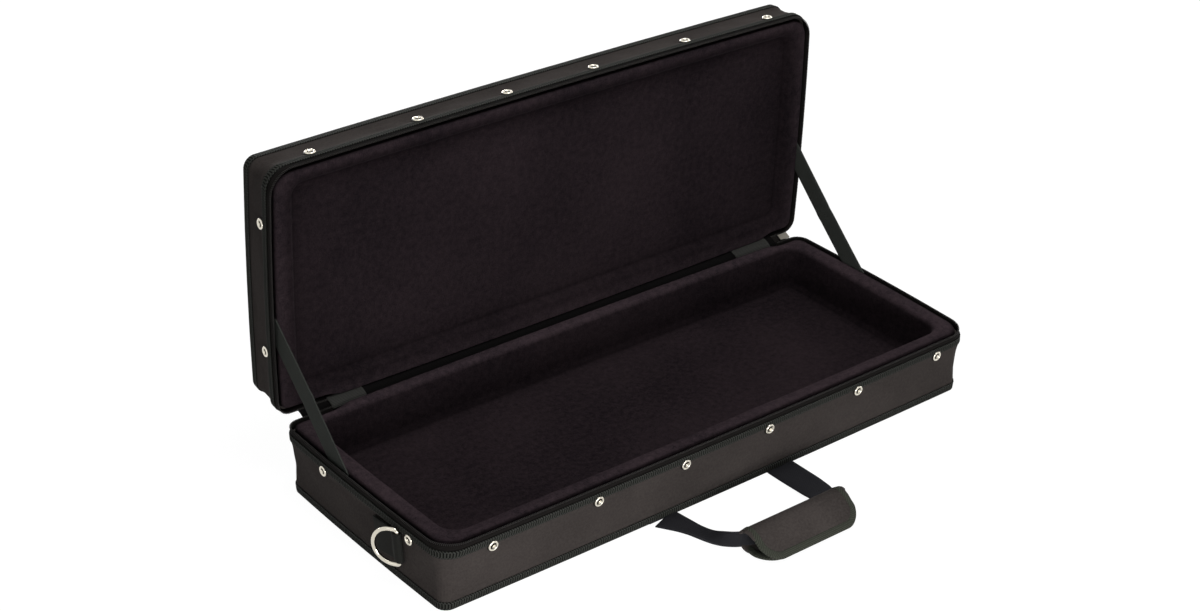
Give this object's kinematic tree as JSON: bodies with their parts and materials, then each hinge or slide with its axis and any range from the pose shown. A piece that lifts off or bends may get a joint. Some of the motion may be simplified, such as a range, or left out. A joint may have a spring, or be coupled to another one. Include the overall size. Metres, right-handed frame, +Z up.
{
  "type": "guitar pedal case",
  "caption": "Soft zip-round equipment case standing open: long padded tray, shallow lined lid on a rear gusset, two webbing stays, D-rings and a padded carrying handle.",
  "frame": {"origin": "centre of the base's flat underside, where the case stands on the ground", "axes": "+X along the case from left to right as seen from the open front, +Y from the front to the hinge at the rear, +Z up; the lid stands open at a right angle"},
  "size_m": [0.7794, 0.4842, 0.371],
  "materials": {
    "cover_nylon": "heavy woven nylon, matt black-brown",
    "plush_lining": "short-pile plush, very dark purple-brown",
    "webbing": "ribbed polyester webbing, dark grey-green black",
    "binding_tape": "herringbone binding tape, dark grey-green",
    "zip_tape": "woven zip tape, black",
    "zip_coil": "nylon coil, satin black",
    "foam_board": "closed-cell foam, dark grey, hidden under cover and lining",
    "stiffener": "thin plastic strip, black, hidden behind the cover",
    "nickel_plate": "bright nickel plate on steel"
  },
  "bodies": {
    "base": {"base_bottom_binding": "binding_tape", "base_cover": "cover_nylon", "base_foam": "foam_board", "base_handle_anchor_left": "webbing", "base_handle_anchor_right": "webbing", "base_lining": "plush_lining", "base_rim_band": "stiffener", "base_rim_binding": "binding_tape", "base_rivet_front_1": "nickel_plate", "base_rivet_front_2": "nickel_plate", "base_rivet_front_3": "nickel_plate", "base_rivet_front_4": "nickel_plate", "base_rivet_front_5": "nickel_plate", "base_rivet_front_6": "nickel_plate", "base_rivet_left_1": "nickel_plate", "base_rivet_left_2": "nickel_plate", "base_rivet_rear_1": "nickel_plate", "base_rivet_rear_2": "nickel_plate", "base_rivet_right_1": "nickel_plate", "base_rivet_right_2": "nickel_plate", "base_zipper_coil": "zip_coil", "base_zipper_tape": "zip_tape", "d_ring_tab_left": "webbing", "d_ring_tab_right": "webbing", "hinge_gusset": "cover_nylon", "hinge_tab_left": "webbing", "hinge_tab_right": "webbing", "lid_stay_left": "webbing", "lid_stay_right": "webbing"},
    "lid": {"lid_cover": "cover_nylon", "lid_edge_binding": "binding_tape", "lid_foam": "foam_board", "lid_handle_anchor_left": "webbing", "lid_handle_anchor_right": "webbing", "lid_lining": "plush_lining", "lid_rim_band": "stiffener", "lid_rim_binding": "binding_tape", "lid_rivet_front_1": "nickel_plate", "lid_rivet_front_2": "nickel_plate", "lid_rivet_front_3": "nickel_plate", "lid_rivet_front_4": "nickel_plate", "lid_rivet_front_5": "nickel_plate", "lid_rivet_front_6": "nickel_plate", "lid_rivet_left_1": "nickel_plate", "lid_rivet_left_2": "nickel_plate", "lid_rivet_rear_1": "nickel_plate", "lid_rivet_rear_2": "nickel_plate", "lid_rivet_right_1": "nickel_plate", "lid_rivet_right_2": "nickel_plate", "lid_zipper_coil": "zip_coil", "lid_zipper_tape": "zip_tape"},
    "base_handle": {"base_handle_strap": "webbing", "handle_grip": "cover_nylon"},
    "lid_handle": {"lid_handle_strap": "webbing"},
    "slider": {"zipper_slider": "nickel_plate"},
    "pull": {"zipper_pull": "nickel_plate"},
    "ring_left": {"d_ring_left": "nickel_plate"},
    "ring_right": {"d_ring_right": "nickel_plate"}
  },
  "joints": [
    {"name": "lid_hinge", "type": "hinge", "parent": "base", "child": "lid", "pos_m": [0, 0.1486, 0.0762], "axis": [1, 0, 0], "range_deg": [0, 90], "deforming": ["hinge_gusset", "hinge_tab_left", "hinge_tab_right", "lid_stay_left", "lid_stay_right"]},
    {"name": "base_handle_swing", "type": "hinge", "parent": "base", "child": "base_handle", "pos_m": [0, -0.1419, 0.0012], "axis": [-1, 0, 0], "range_deg": [0, 60]},
    {"name": "lid_handle_swing", "type": "hinge", "parent": "lid", "child": "lid_handle", "pos_m": [0, 0.21225, 0.3667], "axis": [1, 0, 0], "range_deg": [0, 170]},
    {"name": "zipper_slide", "type": "slide", "parent": "base", "child": "slider", "axis": [1, 0, 0], "range_m": [0, 0.006]},
    {"name": "zipper_pull_swing", "type": "hinge", "parent": "slider", "child": "pull", "pos_m": [0.351, 0.15038, 0.07626], "axis": [1, 0, 0], "range_deg": [0, 90]},
    {"name": "ring_left_swing", "type": "hinge", "parent": "base", "child": "ring_left", "pos_m": [-0.37392, -0.072, 0.04523], "axis": [-0.0623, 0.06, 0.9963], "range_deg": [-18, 100]},
    {"name": "ring_right_swing", "type": "hinge", "parent": "base", "child": "ring_right", "pos_m": [0.37392, -0.072, 0.04523], "axis": [-0.0623, -0.06, -0.9963], "range_deg": [-18, 100]}
  ]
}
